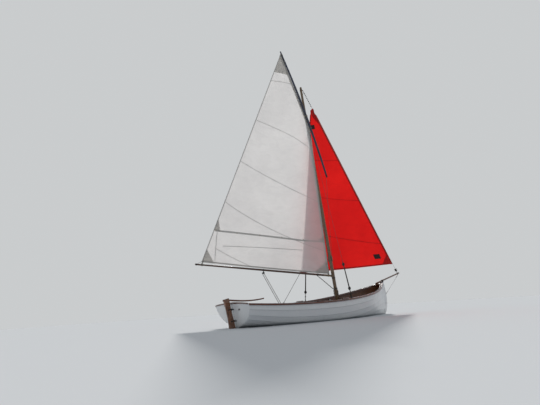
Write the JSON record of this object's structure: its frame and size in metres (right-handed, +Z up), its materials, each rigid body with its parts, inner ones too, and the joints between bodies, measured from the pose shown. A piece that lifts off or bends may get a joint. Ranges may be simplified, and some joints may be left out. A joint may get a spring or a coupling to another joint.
{
  "type": "sailing dinghy",
  "caption": "Clinker sailing dinghy afloat with a standing lug mainsail out to port, a jib on a bowsprit, rudder and lowered centreboard.",
  "frame": {"origin": "on the centreline amidships at the waterline, which is the mount water", "axes": "+X forward to the bow, +Y to port, +Z up out of the water; the boat floats upright"},
  "size_m": [5.3466, 2.1506, 7.2251],
  "materials": {
    "white_paint": "gloss white paint over planking",
    "varnished_mahogany": "dark reddish varnish",
    "varnished_interior": "brown varnish, worn",
    "varnished_spruce": "olive brown varnish",
    "dark_boom_wood": "dark brown varnish",
    "dark_yard": "dark blue black paint",
    "bowsprit_wood": "glossy varnish",
    "board_wood": "varnish",
    "galvanised_steel": "dull weathered metal",
    "wire": "laid wire",
    "rope": "laid rope",
    "dark_block": "dark matt",
    "cream_sailcloth": "thin woven sailcloth",
    "red_sailcloth": "thin woven sailcloth"
  },
  "bodies": {
    "hull": {"aft_thwart": "varnished_interior", "bobstay": "wire", "bowsprit": "bowsprit_wood", "bowsprit_chock": "varnished_interior", "breasthook": "varnished_mahogany", "centre_thwart": "varnished_interior", "centreboard_case": "varnished_interior", "centreboard_pin": "galvanised_steel", "chainplates": "galvanised_steel", "cranse_iron": "galvanised_steel", "floor_timbers": "varnished_interior", "floorboards": "varnished_interior", "furling_drum": "dark_block", "gammon_iron": "galvanised_steel", "gudgeons": "galvanised_steel", "inwales": "varnished_mahogany", "jib": "red_sailcloth", "jib_fairleads": "galvanised_steel", "jib_stay": "wire", "keel": "white_paint", "mast": "varnished_spruce", "mast_bands": "galvanised_steel", "mast_cleats": "varnished_spruce", "mast_step": "varnished_interior", "mast_thwart": "varnished_interior", "outwales": "varnished_mahogany", "quarter_knees": "varnished_mahogany", "ribs": "varnished_interior", "risers": "varnished_interior", "rowlock_pads": "varnished_mahogany", "shroud_blocks": "dark_block", "shroud_lanyards": "rope", "shrouds": "wire", "skeg": "white_paint", "stem": "varnished_mahogany", "stem_eyes": "galvanised_steel", "stern_seat": "varnished_interior", "strake_1": "white_paint", "strake_2": "white_paint", "strake_3": "white_paint", "strake_4": "white_paint", "strake_5": "white_paint", "strake_6": "white_paint", "strake_7": "white_paint", "thwart_block": "dark_block", "thwart_knees": "varnished_mahogany", "transom": "varnished_mahogany"},
    "rig": {"boom": "dark_boom_wood", "jaws": "varnished_spruce", "yard": "dark_yard", "mainsail": "cream_sailcloth", "boom_block": "dark_block"},
    "steering": {"rudder": "varnished_mahogany", "tiller": "varnished_mahogany", "pintles": "galvanised_steel"},
    "board": {"centreboard": "board_wood"}
  },
  "joints": [
    {"name": "boom_swing", "type": "hinge", "parent": "hull", "child": "rig", "pos_m": [0.59, 0, 0.4], "axis": [-0.1156, 0, 0.9933], "range_deg": [-28, 87]},
    {"name": "rudder_turn", "type": "hinge", "parent": "hull", "child": "steering", "pos_m": [-2.14965, 0, 0], "axis": [-0.2385, 0, 0.9711], "range_deg": [-40, 40]},
    {"name": "board_lift", "type": "hinge", "parent": "hull", "child": "board", "pos_m": [0.41, 0, -0.092], "axis": [0, 1, 0], "range_deg": [0, 88]}
  ]
}
